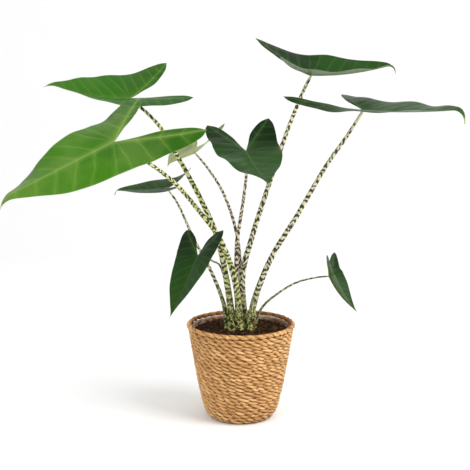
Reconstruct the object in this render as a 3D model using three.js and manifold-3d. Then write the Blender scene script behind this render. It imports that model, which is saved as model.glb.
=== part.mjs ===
// Alocasia in a basket: a zebra-stemmed alocasia growing in soil, in a lined, twined basket.
// Millimetres, +Z up. The origin is the middle of the basket's flat underside.
import * as THREE from 'three';
import { mergeVertices } from 'three/addons/utils/BufferGeometryUtils.js';
import Module from 'manifold-3d';

const wasm = await Module();
wasm.setup();

// ---------------------------------------------------------------- driving dimensions
const CLEARANCE = 0.3; // between pieces that touch

const BASKET_HEIGHT = 178;
const RIM_RADIUS = 100;
const BASE_RADIUS = 58;
const WALL_THICKNESS = 7;
const RIM_THICKNESS = 9;
// side of the basket: share of the height, share of the way from base radius to rim radius
const WALL_SHAPE = [[0, 0], [0.03, 0.14], [0.1, 0.29], [0.26, 0.45], [0.47, 0.63], [1, 1]];
const WALL_STEPS = 10;
const LEAST_STEP = 2; // wall points no closer than this to an edge

const LINER_THICKNESS = 1;
const LINER_GAP = 1.8; // liner to basket wall
const LINER_BELOW_RIM = 4;

const SOIL_BELOW_RIM = 16;
const SOIL_CROWN = 3;
const CROWN_SHOULDER = 0.8; // share of the crown's height, halfway out

const ROOTSTOCK_RADIUS = 36;
const ROOTSTOCK_HEIGHT = 45;
const ROOTSTOCK_DEPTH = 22; // soil over its top
const ROOTSTOCK_FOOT = 0.55; // share of its radius at the bottom
const ROOTSTOCK_SEGMENTS = 24;

const BLADE_THICKNESS = 1;
const SHEATH_THICKNESS = 1.2;
const SHEATH_HEIGHT = 26;
const SHEATH_SWEEP = 80; // degrees of the stem's foot that it wraps
const SHEATH_SIDE = -20; // degrees from +X, the outer side of stem d
const SHEATH_STEPS = 8;

const ROUND_SEGMENTS = 36;
const RIM_CORNERS = 8;
const STEM_SIDES = 8;
const STEM_STEPS = 16;

const soilTop = BASKET_HEIGHT - SOIL_BELOW_RIM;
const rootstockTop = soilTop - ROOTSTOCK_DEPTH;

// The heights in PLANT are for soil this high; the whole plant rises and falls with the soil.
const GROUND = 162;
const growth = new THREE.Vector3(0, 0, soilTop - GROUND);

// Stems: foot [x, y] on the rootstock, radius at the foot and at the blade, points on the way up.
// Leaves: where the stem meets the blade, and how the blade is turned and bent. Angles in degrees:
//   heading  direction of the tip seen from above, from +X towards +Y
//   pitch    tip down,  roll  left half up
//   arch     bend of the midrib along its length,  hook  bend of the last sixth
//   lift, fold  [left, right] rise of each rear lobe and of each half of the blade
//   curl     extra turn of the margin (negative is down),  flatten  fold lost towards the tip
// Lengths: front (stem to tip), halfWidth, lobe (stem to lobe tip). splay is the angle from the
// line of the midrib to a lobe, and lobeBreadth a lobe's half width as a share of halfWidth.
const PLANT = {
  a: {
    foot: [-2, -13], radius: [6.6, 3],
    via: [[-10, -20, 255], [-35, -45, 335], [-75, -90, 400], [-120, -145, 460]],
    at: [-200, -230, 527], heading: 212, pitch: 23, roll: -25,
    front: 216, halfWidth: 71, lobe: 146, splay: 40, arch: 0, hook: 60,
    lift: [32, -12], fold: [1, 3], curl: -12, flatten: 18, lobeBreadth: 0.52,
  },
  b: {
    foot: [-15, -9], radius: [6.6, 3],
    via: [[-25, -10, 250], [-45, -18, 345], [-80, -24, 425], [-115, -28, 490], [-148, -30, 545]],
    at: [-195, -30, 589], heading: 200, pitch: 1, roll: -15,
    front: 155, halfWidth: 63, lobe: 121, splay: 38, arch: -26, hook: 45,
    lift: [26, 24], fold: [12, 33], curl: -15, flatten: 0, lobeBreadth: 0.55,
  },
  c: {
    foot: [8, -1], radius: [6.6, 3],
    via: [[3, 10, 265], [22, 15, 340], [53, 30, 435], [88, 45, 535], [118, 57, 607]],
    at: [130, 60, 630], heading: 13, pitch: 2, roll: 14,
    front: 173, halfWidth: 60, lobe: 134, splay: 38, arch: -20, hook: 90,
    lift: [26, 40], fold: [30, 26], curl: -12, flatten: 0, lobeBreadth: 0.55,
  },
  d: {
    foot: [17, -13], radius: [6.6, 3],
    via: [[23, -15, 215], [53, -25, 300], [98, -40, 380], [150, -55, 475], [180, -62, 520]],
    at: [210, -70, 570], heading: -42, pitch: 2, roll: 8,
    front: 210, halfWidth: 60, lobe: 142, splay: 39, arch: -8, hook: 100,
    lift: [4, 36], fold: [12, 13], curl: -12, flatten: 0, lobeBreadth: 0.5,
  },
  e: {
    foot: [-6, 3], radius: [4.2, 2.5],
    via: [[-8, -3, 320], [-2, -18, 368], [4, -35, 411], [9, -55, 460]],
    at: [8, -70, 500], heading: -75, pitch: 25, roll: 0,
    front: 150, halfWidth: 60, lobe: 91, splay: 37, arch: -18, hook: 20,
    lift: [46, 12], fold: [15, 12], curl: -10, flatten: 0, lobeBreadth: 0.62,
  },
  f: {
    foot: [-2, 15], radius: [4, 2.2],
    via: [[-2, 25, 290], [-10, 50, 345], [-35, 95, 410], [-67, 130, 455]],
    at: [-90, 150, 480], heading: 232, pitch: 12, roll: 0,
    front: 84, halfWidth: 42, lobe: 96, splay: 40, arch: 0, hook: 40,
    lift: [72, 10], fold: [40, 15], curl: -15, flatten: 0, lobeBreadth: 0.5,
  },
  g: {
    foot: [-25, 3], radius: [4.5, 1.8],
    via: [[-32, 8, 210], [-58, 20, 275], [-87, 40, 325], [-120, 60, 393]],
    at: [-140, 70, 420], heading: 158, pitch: 8, roll: -12,
    front: 118, halfWidth: 36, lobe: 64, splay: 40, arch: -8, hook: 70,
    lift: [25, 50], fold: [10, 20], curl: -12, flatten: 0, lobeBreadth: 0.55,
  },
  h: {
    foot: [-14, 13], radius: [2.2, 1.5],
    via: [[-24, 12, 225], [-37, 4, 280], [-51, -40, 300], [-63, -85, 314]],
    at: [-75, -120, 325], heading: -125, pitch: 53, roll: 10,
    front: 121, halfWidth: 44, lobe: 64, splay: 44, arch: -5, hook: 0,
    lift: [0, 0], fold: [15, 15], curl: -12, flatten: 0, lobeBreadth: 0.66,
  },
  i: {
    foot: [25, 1], radius: [2.4, 1.5],
    via: [[38, 2, 203], [70, 5, 232], [105, 10, 251], [145, 17, 259]],
    at: [165, 20, 260], heading: -30, pitch: 64, roll: 0,
    front: 84, halfWidth: 34, lobe: 50, splay: 38, arch: -35, hook: 10,
    lift: [5, 5], fold: [32, 52], curl: -15, flatten: 0, lobeBreadth: 0.55,
  },
};

// ---------------------------------------------------------------- solids and booleans
const { degToRad: radians, lerp, smoothstep, clamp } = THREE.MathUtils;

function weld(geometry) {
  geometry.deleteAttribute('normal');
  geometry.deleteAttribute('uv');
  return mergeVertices(geometry, 1e-4);
}

function toSolid(geometry) {
  const welded = weld(geometry.clone());
  const mesh = new wasm.Mesh({
    numProp: 3,
    vertProperties: new Float32Array(welded.attributes.position.array),
    triVerts: new Uint32Array(welded.index.array),
  });
  return new wasm.Manifold(mesh);
}

function toGeometry(solid) {
  const mesh = solid.getMesh();
  const geometry = new THREE.BufferGeometry();
  geometry.setAttribute('position', new THREE.BufferAttribute(mesh.vertProperties, 3));
  geometry.setIndex(new THREE.BufferAttribute(mesh.triVerts, 1));
  return geometry;
}

function cut(geometry, tools) {
  const solid = tools.reduce((rest, tool) => rest.subtract(toSolid(tool)), toSolid(geometry));
  return toGeometry(solid);
}

function indexed(points, triangles) {
  const geometry = new THREE.BufferGeometry().setFromPoints(points);
  geometry.setIndex(triangles);
  return geometry;
}

// A profile of [radius, height] pairs, drawn anticlockwise, turned about Z.
function turned(profile, segments = ROUND_SEGMENTS) {
  const points = profile.map(([r, z]) => new THREE.Vector2(r, z));
  return new THREE.LatheGeometry(points, segments).rotateX(Math.PI / 2);
}

// ---------------------------------------------------------------- basket, liner and soil
const wallCurve = new THREE.SplineCurve(
  WALL_SHAPE.map(([up, out]) => new THREE.Vector2(
    BASE_RADIUS + out * (RIM_RADIUS - BASE_RADIUS),
    up * BASKET_HEIGHT,
  )),
);
const wallPoints = wallCurve.getSpacedPoints(WALL_STEPS);

function wallRadius(z) {
  const above = wallPoints.findIndex((point) => point.y >= z);
  const high = wallPoints[Math.max(above, 1)];
  const low = wallPoints[Math.max(above, 1) - 1];
  return low.x + ((z - low.y) / (high.y - low.y)) * (high.x - low.x);
}

// Points of the basket's side between two heights, moved inwards.
function side(from, to, inset) {
  const heights = wallPoints
    .map((point) => point.y)
    .filter((z) => z > from + LEAST_STEP && z < to - LEAST_STEP);
  return [from, ...heights, to].map((z) => [wallRadius(z) - inset, z]);
}

const wallTop = BASKET_HEIGHT - RIM_THICKNESS - CLEARANCE;
const linerInset = WALL_THICKNESS + LINER_GAP;
const linerFloor = WALL_THICKNESS + CLEARANCE;
const soilFloor = linerFloor + LINER_THICKNESS + CLEARANCE;

function basketWall() {
  const outside = side(0, wallTop, 0);
  const inside = side(0, wallTop, WALL_THICKNESS).reverse();
  return turned([...outside, ...inside, outside[0]]);
}

function basketBase() {
  const radius = BASE_RADIUS - WALL_THICKNESS - CLEARANCE;
  return turned([[0, 0], [radius, 0], [radius, WALL_THICKNESS], [0, WALL_THICKNESS]]);
}

function basketRim() {
  const half = RIM_THICKNESS / 2;
  const ring = Array.from({ length: RIM_CORNERS + 1 }, (_, k) => {
    const angle = ((k % RIM_CORNERS) + 0.5) * (2 * Math.PI / RIM_CORNERS);
    const reach = half / Math.cos(Math.PI / RIM_CORNERS);
    return [
      RIM_RADIUS - half + reach * Math.cos(angle),
      BASKET_HEIGHT - half + reach * Math.sin(angle),
    ];
  });
  return turned(ring);
}

function plasticLiner() {
  const top = BASKET_HEIGHT - LINER_BELOW_RIM;
  const outside = side(linerFloor, top, linerInset);
  const inside = side(linerFloor + LINER_THICKNESS, top, linerInset + LINER_THICKNESS).reverse();
  return turned([[0, linerFloor], ...outside, ...inside, [0, linerFloor + LINER_THICKNESS]]);
}

function soilBlock() {
  const wall = side(soilFloor, soilTop, linerInset + LINER_THICKNESS + CLEARANCE);
  const halfway = wallRadius(soilTop) / 2;
  const crown = [[halfway, soilTop + SOIL_CROWN * CROWN_SHOULDER], [0, soilTop + SOIL_CROWN]];
  return turned([[0, soilFloor], ...wall, ...crown]);
}

function rootstock(grow = 0) {
  const radius = ROOTSTOCK_RADIUS + grow;
  const top = rootstockTop + grow;
  const bottom = rootstockTop - ROOTSTOCK_HEIGHT - grow;
  const waist = top - ROOTSTOCK_HEIGHT / 2;
  const profile = [
    [0, bottom], [radius * ROOTSTOCK_FOOT, bottom], [radius, waist], [radius, top], [0, top],
  ];
  return turned(profile, ROOTSTOCK_SEGMENTS);
}

// ---------------------------------------------------------------- stems
// A closed round tube that tapers; grow makes it fatter and longer at both ends.
function stem(plant, grow = 0) {
  const [x, y] = plant.foot;
  const route = new THREE.CatmullRomCurve3([
    new THREE.Vector3(x, y, rootstockTop + CLEARANCE),
    new THREE.Vector3(x, y, soilTop),
    ...[...plant.via, plant.at].map((point) => new THREE.Vector3(...point).add(growth)),
  ], false, 'centripetal');
  const frames = route.computeFrenetFrames(STEM_STEPS, false);
  const points = [];
  for (let k = 0; k <= STEM_STEPS; k += 1) {
    const share = k / STEM_STEPS;
    const end = (k === STEM_STEPS) - (k === 0);
    const centre = route.getPointAt(share).addScaledVector(frames.tangents[k], end * grow);
    const radius = lerp(...plant.radius, share) + grow;
    for (let j = 0; j < STEM_SIDES; j += 1) {
      const turn = (2 * Math.PI * j) / STEM_SIDES;
      points.push(centre.clone()
        .addScaledVector(frames.normals[k], radius * Math.cos(turn))
        .addScaledVector(frames.binormals[k], radius * Math.sin(turn)));
    }
  }
  const triangles = [];
  for (let k = 0; k < STEM_STEPS; k += 1) {
    for (let j = 0; j < STEM_SIDES; j += 1) {
      const next = (j + 1) % STEM_SIDES;
      const a = k * STEM_SIDES + j;
      const b = k * STEM_SIDES + next;
      triangles.push(a, b, b + STEM_SIDES, a, b + STEM_SIDES, a + STEM_SIDES);
    }
  }
  const last = STEM_STEPS * STEM_SIDES;
  for (let j = 1; j < STEM_SIDES - 1; j += 1) {
    triangles.push(0, j + 1, j, last, last + j, last + j + 1);
  }
  return indexed(points, triangles);
}

// ---------------------------------------------------------------- leaf blades
const FRONT_ROWS = 10; // tip to stem
const LOBE_ROWS = 6; // stem to lobe tip
const HALF_COLUMNS = 3; // midrib to margin
const BEND_SAMPLES = 24;
const HOOK_START = 0.82; // share of the front length
const TIP_CROWDING = 1.25; // rows lie closer together towards the tip
const SHOULDER = 5 / 9; // how far along the margin the lobe begins

// Margin and middle of one half, lying flat: x to the tip, y away from the midrib.
function flatOutline(leaf) {
  const { front, halfWidth, lobe } = leaf;
  const splay = radians(leaf.splay);
  const broad = leaf.lobeBreadth * halfWidth;
  const point = (x, y) => new THREE.Vector2(x, y);
  // a place on the lobe: share of its length, share of its breadth to the side
  const onLobe = (along, across) => point(
    -Math.cos(splay) * lobe * along + Math.sin(splay) * broad * across,
    Math.sin(splay) * lobe * along + Math.cos(splay) * broad * across,
  );
  const margin = new THREE.SplineCurve([
    point(front, 0),
    point(0.91 * front, 0.08 * halfWidth),
    point(0.75 * front, 0.33 * halfWidth),
    point(0.53 * front, 0.65 * halfWidth),
    point(0.27 * front, 0.9 * halfWidth),
    point(0.02 * front, halfWidth),
    onLobe(0.5, 1.1),
    onLobe(0.74, 0.72),
    onLobe(0.93, 0.34),
    onLobe(1, 0),
  ]);
  const sinus = new THREE.SplineCurve([
    point(0, 0), onLobe(0.22, -0.13), onLobe(0.5, -0.32), onLobe(0.82, -0.26), onLobe(1, 0),
  ]);
  return { margin, sinus };
}

// Bend one flat point of the blade into its place; side is 1 on the left half, -1 on the right.
function bent(leaf, flat, sideOf) {
  const half = sideOf > 0 ? 0 : 1;
  const slope = (x) => {
    if (x < 0) return radians(leaf.lift[half] * Math.min(-x / leaf.lobe, 1.3));
    const along = Math.min(x / leaf.front, 1);
    const hooked = smoothstep(along, HOOK_START, 1);
    return radians(leaf.arch * along + leaf.hook * hooked);
  };
  let level = 0;
  let drop = 0;
  for (let k = 0; k < BEND_SAMPLES; k += 1) {
    const angle = slope((flat.x * (k + 0.5)) / BEND_SAMPLES);
    level += (flat.x * Math.cos(angle)) / BEND_SAMPLES;
    drop += (flat.x * Math.sin(angle)) / BEND_SAMPLES;
  }
  const outward = Math.min(flat.y / leaf.halfWidth, 1.5) / 2;
  const forward = clamp(flat.x / leaf.front, 0, 1);
  const rise = radians(leaf.fold[half] + leaf.curl * outward - leaf.flatten * forward);
  const lean = slope(flat.x);
  const up = flat.y * Math.sin(rise);
  return new THREE.Vector3(
    level + up * Math.sin(lean),
    flat.y * Math.cos(rise) * sideOf,
    up * Math.cos(lean) - drop,
  );
}

function placed(leaf, point) {
  return point
    .applyAxisAngle(new THREE.Vector3(1, 0, 0), radians(leaf.roll))
    .applyAxisAngle(new THREE.Vector3(0, 1, 0), radians(leaf.pitch))
    .applyAxisAngle(new THREE.Vector3(0, 0, 1), radians(leaf.heading))
    .add(new THREE.Vector3(...leaf.at))
    .add(growth);
}

// Where a row of the blade starts, on the midrib or the sinus edge, and ends, on the margin.
function rowEnds(leaf, { margin, sinus }, row) {
  if (row > FRONT_ROWS) {
    const share = (row - FRONT_ROWS) / LOBE_ROWS;
    return [sinus.getPoint(share), margin.getPoint(lerp(SHOULDER, 1, share))];
  }
  const share = (row / FRONT_ROWS) ** TIP_CROWDING;
  const inner = new THREE.Vector2(leaf.front * (1 - share), 0);
  return [inner, margin.getPoint(SHOULDER * share)];
}

// The blade's middle surface, as rows of points from the tip to each lobe tip.
function bladeSurface(leaf) {
  const curves = flatOutline(leaf);
  const points = [];
  const triangles = [];
  for (const sideOf of [1, -1]) {
    const first = points.length;
    const rows = FRONT_ROWS + LOBE_ROWS;
    for (let row = 0; row <= rows; row += 1) {
      const [inner, outer] = rowEnds(leaf, curves, row);
      for (let column = 0; column <= HALF_COLUMNS; column += 1) {
        const flat = inner.clone().lerp(outer, column / HALF_COLUMNS);
        points.push(placed(leaf, bent(leaf, flat, sideOf)));
      }
    }
    for (let row = 0; row < rows; row += 1) {
      for (let column = 0; column < HALF_COLUMNS; column += 1) {
        const a = first + row * (HALF_COLUMNS + 1) + column;
        const b = a + HALF_COLUMNS + 1;
        const quad = sideOf > 0 ? [a, a + 1, b + 1, a, b + 1, b] : [a, b + 1, a + 1, a, b, b + 1];
        triangles.push(...quad);
      }
    }
  }
  const welded = mergeVertices(indexed(points, triangles), 1e-3);
  const kept = [];
  const index = welded.index.array;
  for (let k = 0; k < index.length; k += 3) {
    const [a, b, c] = [index[k], index[k + 1], index[k + 2]];
    if (a !== b && b !== c && c !== a) kept.push(a, b, c);
  }
  welded.setIndex(kept);
  return welded;
}

// Give an open surface a thickness: a copy on each side of it, joined along its edges.
function thickened(surface, thickness) {
  surface.computeVertexNormals();
  const { position, normal } = surface.attributes;
  const count = position.count;
  const points = [];
  for (const offset of [thickness / 2, -thickness / 2]) {
    for (let k = 0; k < count; k += 1) {
      const away = new THREE.Vector3().fromBufferAttribute(normal, k).multiplyScalar(offset);
      points.push(new THREE.Vector3().fromBufferAttribute(position, k).add(away));
    }
  }
  const faces = Array.from(surface.index.array);
  const edges = new Set();
  const triangles = [];
  for (let k = 0; k < faces.length; k += 3) {
    const [a, b, c] = faces.slice(k, k + 3);
    triangles.push(a, b, c, a + count, c + count, b + count);
    edges.add(`${a} ${b}`).add(`${b} ${c}`).add(`${c} ${a}`);
  }
  for (const edge of edges) {
    const [a, b] = edge.split(' ').map(Number);
    if (!edges.has(`${b} ${a}`)) triangles.push(b, a, a + count, b, a + count, b + count);
  }
  return indexed(points, triangles);
}

function blade(plant) {
  return cut(thickened(bladeSurface(plant), BLADE_THICKNESS), [stem(plant, CLEARANCE)]);
}

// ---------------------------------------------------------------- dried sheath
// An old leaf sheath, standing in the soil round the outer side of one stem's foot.
function driedSheath(plant, towards) {
  const radius = plant.radius[0] + CLEARANCE + SHEATH_THICKNESS;
  const shape = new THREE.Shape();
  const start = radians(towards - SHEATH_SWEEP / 2);
  const end = radians(towards + SHEATH_SWEEP / 2);
  shape.absarc(0, 0, radius + SHEATH_THICKNESS, start, end, false);
  shape.absarc(0, 0, radius, end, start, true);
  const geometry = new THREE.ExtrudeGeometry(shape, {
    depth: SHEATH_HEIGHT, bevelEnabled: false, curveSegments: SHEATH_STEPS,
  });
  // lean it with the stem, stand it on the soil, and clear the stem
  const [x, y] = plant.foot;
  const [viaX, viaY, viaZ] = plant.via[0];
  const rise = viaZ - GROUND;
  geometry.applyMatrix4(new THREE.Matrix4().set(
    1, 0, (viaX - x) / rise, x,
    0, 1, (viaY - y) / rise, y,
    0, 0, 1, soilTop + SOIL_CROWN + CLEARANCE,
    0, 0, 0, 1,
  ));
  return cut(geometry, [stem(plant, CLEARANCE)]);
}

// ---------------------------------------------------------------- the object
const group = new THREE.Group();

function add(name, geometry, color, roughness) {
  const material = new THREE.MeshStandardMaterial({ color, roughness, metalness: 0 });
  const mesh = new THREE.Mesh(geometry, material);
  mesh.name = name;
  group.add(mesh);
}

const SEAGRASS = 0xcda064;
const CLEAR_PLASTIC = 0xd9cfc6;
const SOIL = 0x281c14;
const ROOT = 0x5a4028;
const STEM = 0xb9c284;
const DRIED = 0x8a6a32;
const BLADE_COLOURS = {
  a: 0x46821e, b: 0x3c6e23, c: 0x1e411c, d: 0x1e411c, e: 0x24481f,
  f: 0x7f8f3c, g: 0x1e411c, h: 0x1e411c, i: 0x1e411c,
};

add('basket_wall', basketWall(), SEAGRASS, 0.8);
add('basket_base', basketBase(), SEAGRASS, 0.8);
add('basket_rim', basketRim(), SEAGRASS, 0.8);
add('plastic_liner', plasticLiner(), CLEAR_PLASTIC, 0.3);
const holes = Object.values(PLANT).map((plant) => stem(plant, CLEARANCE));
add('soil', cut(soilBlock(), [rootstock(CLEARANCE), ...holes]), SOIL, 0.95);
add('rootstock', rootstock(), ROOT, 0.9);
for (const [letter, plant] of Object.entries(PLANT)) {
  add(`stem_${letter}`, stem(plant), STEM, 0.45);
  add(`leaf_${letter}`, blade(plant), BLADE_COLOURS[letter], 0.4);
}
add('dried_sheath', driedSheath(PLANT.d, SHEATH_SIDE), DRIED, 0.85);

export default group;
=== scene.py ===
"""Looks for a potted alocasia in a twined seagrass basket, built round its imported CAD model.

Everything is in metres, in the CAD model's own frame: the origin is the middle of the
basket's flat underside, and +Z is up.
"""

import math

import bpy
import numpy as np
from mathutils import Matrix, Vector


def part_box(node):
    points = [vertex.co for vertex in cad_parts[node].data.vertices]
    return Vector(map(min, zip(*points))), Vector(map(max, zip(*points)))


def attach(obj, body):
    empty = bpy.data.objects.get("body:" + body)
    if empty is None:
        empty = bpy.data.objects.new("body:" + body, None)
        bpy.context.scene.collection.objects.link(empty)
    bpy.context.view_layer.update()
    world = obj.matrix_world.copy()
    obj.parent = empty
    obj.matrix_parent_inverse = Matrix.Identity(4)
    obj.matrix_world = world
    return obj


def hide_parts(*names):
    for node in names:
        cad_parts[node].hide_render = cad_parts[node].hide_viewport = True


bl_info = {
    "name": "Potted Alocasia",
    "version": (1, 0, 0),
    "blender": (4, 5, 0),
    "location": "View3D > Sidebar > Alocasia",
    "description": "Makes an alocasia in a twined, lined basket round its CAD model",
    "category": "Add Mesh",
}

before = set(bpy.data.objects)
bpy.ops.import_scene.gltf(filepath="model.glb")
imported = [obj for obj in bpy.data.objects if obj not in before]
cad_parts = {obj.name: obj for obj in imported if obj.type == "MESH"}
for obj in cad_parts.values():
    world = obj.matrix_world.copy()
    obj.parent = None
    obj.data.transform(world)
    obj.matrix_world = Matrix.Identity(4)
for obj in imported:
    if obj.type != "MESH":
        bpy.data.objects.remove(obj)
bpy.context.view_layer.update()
MM = 0.001
TURN = 2 * math.pi
BODY = "root"


def linear(red, green, blue):
    """A colour given from 0 to 255 as the linear colour that nodes use."""

    def channel(value):
        share = value / 255
        return share / 12.92 if share <= 0.04045 else ((share + 0.055) / 1.055) ** 2.4

    return channel(red), channel(green), channel(blue)


# ------------------------------------------------------------------ the plant
# Millimetres and degrees, as in the CAD model's source. foot and radius (foot, blade) and
# via belong to the stem; at is where it meets the blade.
USUAL = dict(radius=(6.6, 3), roll=0, splay=38, curl=-12, flatten=0, lobe_breadth=0.55)
PLANT = {
    "a": dict(
        foot=(-2, -13),
        via=((-10, -20, 255), (-35, -45, 335), (-75, -90, 400), (-120, -145, 460)),
        at=(-200, -230, 527), heading=212, pitch=23, roll=-25,
        front=216, half_width=71, lobe=146, splay=40, arch=0, hook=60,
        lift=(32, -12), fold=(1, 3), flatten=18, lobe_breadth=0.52,
    ),
    "b": dict(
        foot=(-15, -9),
        via=((-25, -10, 250), (-45, -18, 345), (-80, -24, 425), (-115, -28, 490),
             (-148, -30, 545)),
        at=(-195, -30, 589), heading=200, pitch=1, roll=-15,
        front=155, half_width=63, lobe=121, arch=-26, hook=45,
        lift=(26, 24), fold=(12, 33), curl=-15,
    ),
    "c": dict(
        foot=(8, -1),
        via=((3, 10, 265), (22, 15, 340), (53, 30, 435), (88, 45, 535), (118, 57, 607)),
        at=(130, 60, 630), heading=13, pitch=2, roll=14,
        front=173, half_width=60, lobe=134, arch=-20, hook=90,
        lift=(26, 40), fold=(30, 26),
    ),
    "d": dict(
        foot=(17, -13),
        via=((23, -15, 215), (53, -25, 300), (98, -40, 380), (150, -55, 475),
             (180, -62, 520)),
        at=(210, -70, 570), heading=-42, pitch=2, roll=8,
        front=210, half_width=60, lobe=142, splay=39, arch=-8, hook=100,
        lift=(4, 36), fold=(12, 13), lobe_breadth=0.5,
    ),
    "e": dict(
        foot=(-6, 3), radius=(4.2, 2.5),
        via=((-8, -3, 320), (-2, -18, 368), (4, -35, 411), (9, -55, 460)),
        at=(8, -70, 500), heading=-75, pitch=25,
        front=150, half_width=60, lobe=91, splay=37, arch=-18, hook=20,
        lift=(46, 12), fold=(15, 12), curl=-10, lobe_breadth=0.62,
    ),
    "f": dict(
        foot=(-2, 15), radius=(4, 2.2),
        via=((-2, 25, 290), (-10, 50, 345), (-35, 95, 410), (-67, 130, 455)),
        at=(-90, 150, 480), heading=232, pitch=12,
        front=84, half_width=42, lobe=96, splay=40, arch=0, hook=40,
        lift=(72, 10), fold=(40, 15), curl=-15, lobe_breadth=0.5,
    ),
    "g": dict(
        foot=(-25, 3), radius=(4.5, 1.8),
        via=((-32, 8, 210), (-58, 20, 275), (-87, 40, 325), (-120, 60, 393)),
        at=(-140, 70, 420), heading=158, pitch=8, roll=-12,
        front=118, half_width=36, lobe=64, splay=40, arch=-8, hook=70,
        lift=(25, 50), fold=(10, 20),
    ),
    "h": dict(
        foot=(-14, 13), radius=(2.2, 1.5),
        via=((-24, 12, 225), (-37, 4, 280), (-51, -40, 300), (-63, -85, 314)),
        at=(-75, -120, 325), heading=-125, pitch=53, roll=10,
        front=121, half_width=44, lobe=64, splay=44, arch=-5, hook=0,
        lift=(0, 0), fold=(15, 15), lobe_breadth=0.66,
    ),
    "i": dict(
        foot=(25, 1), radius=(2.4, 1.5),
        via=((38, 2, 203), (70, 5, 232), (105, 10, 251), (145, 17, 259)),
        at=(165, 20, 260), heading=-30, pitch=64,
        front=84, half_width=34, lobe=50, arch=-35, hook=10,
        lift=(5, 5), fold=(32, 52), curl=-15,
    ),
}
PLANT = {letter: {**USUAL, **own} for letter, own in PLANT.items()}
SLOT_OF_LEAF = {"a": "bright_leaf", "b": "bright_leaf", "f": "pale_leaf"}  # others dark_leaf
LOOK_OF_STEM = {
    "a": "yellow", "b": "yellow", "c": "green", "d": "green", "g": "green",
    "e": "rosy", "f": "rosy", "h": "thin", "i": "thin",
}


# ------------------------------------------------------------------ sizes and colours
def length(name, description, default):
    return bpy.props.FloatProperty(
        name=name, description=description, default=default, min=0,
        subtype="DISTANCE", unit="LENGTH",
    )


def colour(name, description, default):
    return bpy.props.FloatVectorProperty(
        name=name, description=description, default=default, min=0, max=1,
        subtype="COLOR", size=3,
    )


def number(name, description, default):
    return bpy.props.FloatProperty(name=name, description=description, default=default, min=0)


def count(name, description, default):
    return bpy.props.IntProperty(name=name, description=description, default=default, min=1)


class BasketSettings(bpy.types.PropertyGroup):
    row_pitch: length("Row pitch", "Height of one twined row", 6.7 * MM)
    twist: length("Twist", "Length of one full twist of a pair of strands", 32 * MM)
    strand: length("Strand", "Radius of one strand of the weave", 2.3 * MM)
    border_strand: length("Border strand", "Radius of one strand of the border", 2.9 * MM)
    border_twist: length("Border twist", "Length of one full twist of the border", 32 * MM)
    wobble: length("Wobble", "How far the rows wander by hand", 0.9 * MM)
    stakes: count("Stakes", "Upright stakes that the rows are twined round", 84)
    light: colour("Light straw", "Palest strands", linear(250, 206, 146))
    middle: colour("Straw", "Most strands", linear(190, 142, 84))
    # dark also gives the painted shade where the strands turn in towards the gaps
    dark: colour("Dark straw", "Brown strands and the gaps", linear(124, 74, 28))
    seed: count("Seed", "Start of the random draws", 7)


class LinerSettings(bpy.types.PropertyGroup):
    crumple: length("Crumple", "Depth of the creases", 1.3 * MM)
    scallop: length("Scallop", "How much the cut edge rises and falls", 3.5 * MM)
    film: colour("Film", "Tint of the plastic film", linear(226, 208, 196))
    seed: count("Seed", "Start of the random draws", 3)


class SoilSettings(bpy.types.PropertyGroup):
    grain: length("Grain", "Height of the lumps", 2.6 * MM)
    crumbs: count("Crumbs", "Loose crumbs lying on the soil", 1700)
    crumb_size: length("Crumb size", "Radius of a middling crumb", 1.7 * MM)
    dark: colour("Dark peat", "Damp peat", linear(19, 12, 4))
    light: colour("Light peat", "Drier crumbs and fibres", linear(78, 51, 25))
    seed: count("Seed", "Start of the random draws", 5)


class StemSettings(bpy.types.PropertyGroup):
    sides: count("Sides", "Sides of a stem's section", 14)
    band: length("Band", "Distance from one dark band to the next", 10.5 * MM)
    dark: colour("Bands", "Dark bands", linear(34, 24, 14))
    # yellow is a stem ground made yellower as painted sunlight on the two stems of the bright
    # leaves
    yellow: colour("Yellow stem", "Ground of the two sunlit stems", linear(186, 192, 112))
    green: colour("Green stem", "Ground of the stout stems", linear(204, 200, 162))
    rosy: colour("Rosy stem", "Ground of the thin older stems", linear(206, 190, 168))
    thin: colour("Thin stem", "Ground of the two smallest stems", linear(120, 125, 92))
    foot: colour("Foot", "Pale mottling low on each stem", linear(184, 188, 118))
    sheath: colour("Dried sheath", "Old papery sheath", linear(140, 104, 60))


class LeafSettings(bpy.types.PropertyGroup):
    thickness: length("Thickness", "Thickness of the blade", 0.8 * MM)
    rib: length("Rib", "How far the midrib stands out underneath", 1.3 * MM)
    quilting: length("Quilting", "Rise of the blade between side veins", 0.8 * MM)
    side_veins: number("Side veins", "Side veins along the front of a blade", 6.4)
    # bright and young are the leaves' own greens made lighter, partly as painted glow of light
    # shining through the thin blades
    bright: colour("Bright green", "Top of the largest leaf", linear(54, 106, 6))
    young: colour("Young green", "Top of the leaf above it", linear(38, 92, 6))
    dark: colour("Dark green", "Top of the older leaves", linear(22, 60, 4))
    pale: colour("Pale green", "The small fading leaf", linear(130, 142, 84))
    seed: count("Seed", "Start of the random draws", 11)


class StageSettings(bpy.types.PropertyGroup):
    floor: colour("Floor", "Pale floor and backdrop", (0.93, 0.93, 0.93))
    sky: number("Sky", "Strength of the even light", 0.87)
    key: number("Key", "Power of the large soft light, in watts", 42.0)
    lens: number("Lens", "Focal length in millimetres on a 36 mm sensor", 75.0)


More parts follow.
